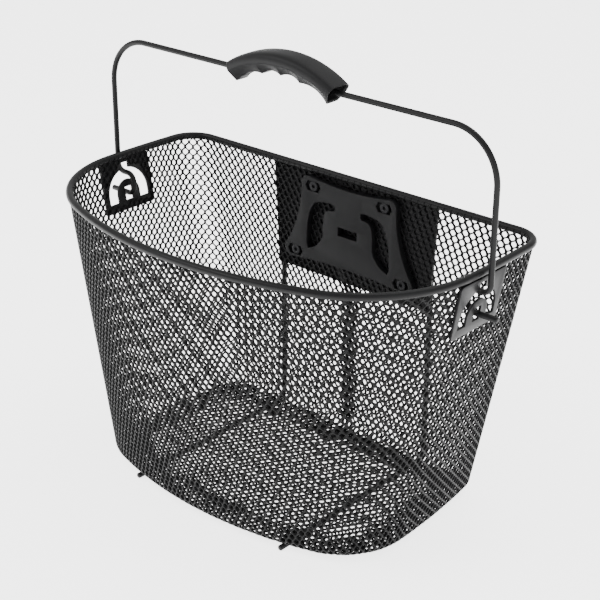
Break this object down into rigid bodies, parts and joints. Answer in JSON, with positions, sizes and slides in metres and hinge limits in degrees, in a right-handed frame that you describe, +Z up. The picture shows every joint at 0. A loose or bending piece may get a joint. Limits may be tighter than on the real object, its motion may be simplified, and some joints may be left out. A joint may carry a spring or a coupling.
{
  "type": "handlebar basket",
  "caption": "Tapered black mesh basket with a flat rear, a clamp plate and adapter for a handlebar, and a folding arched carrying handle with a moulded grip.",
  "frame": {"origin": "on the surface that the basket stands on, in the middle of its footprint", "axes": "+Z up, +Y towards the flat rear that hangs on a handlebar, +X to the right when looking from the bowed front to the rear"},
  "size_m": [0.396, 0.2368, 0.3527],
  "materials": {
    "coated_mesh": "satin black powder coat",
    "coated_wire": "satin black powder coat",
    "coated_plate": "satin black powder coat",
    "grip_plastic": "fine moulded grain",
    "clamp_plastic": "fine moulded grain",
    "dark_steel": "black oxide",
    "plated_steel": "zinc plated"
  },
  "bodies": {
    "basket": {"mesh_wall": "coated_mesh", "mesh_floor": "coated_mesh", "rim_wire": "coated_wire", "stay_wire_left": "coated_wire", "stay_wire_right": "coated_wire", "handle_bracket_left": "coated_plate", "handle_bracket_right": "coated_plate", "backing_plate": "coated_plate", "inner_plate": "clamp_plastic", "adapter_body": "clamp_plastic", "clamp_screw_1": "dark_steel", "clamp_screw_2": "dark_steel", "clamp_screw_3": "dark_steel", "clamp_screw_4": "dark_steel", "clamp_washer_1": "plated_steel", "clamp_washer_2": "plated_steel", "clamp_washer_3": "plated_steel", "clamp_washer_4": "plated_steel", "clamp_nut_1": "plated_steel", "clamp_nut_2": "plated_steel", "clamp_nut_3": "plated_steel", "clamp_nut_4": "plated_steel"},
    "handle": {"handle_wire": "coated_wire", "handle_grip": "grip_plastic"}
  },
  "joints": [
    {"name": "handle_swing", "type": "hinge", "parent": "basket", "child": "handle", "pos_m": [0, 0.014, 0.1982], "axis": [1, 0, 0], "range_deg": [-90, 67]}
  ]
}
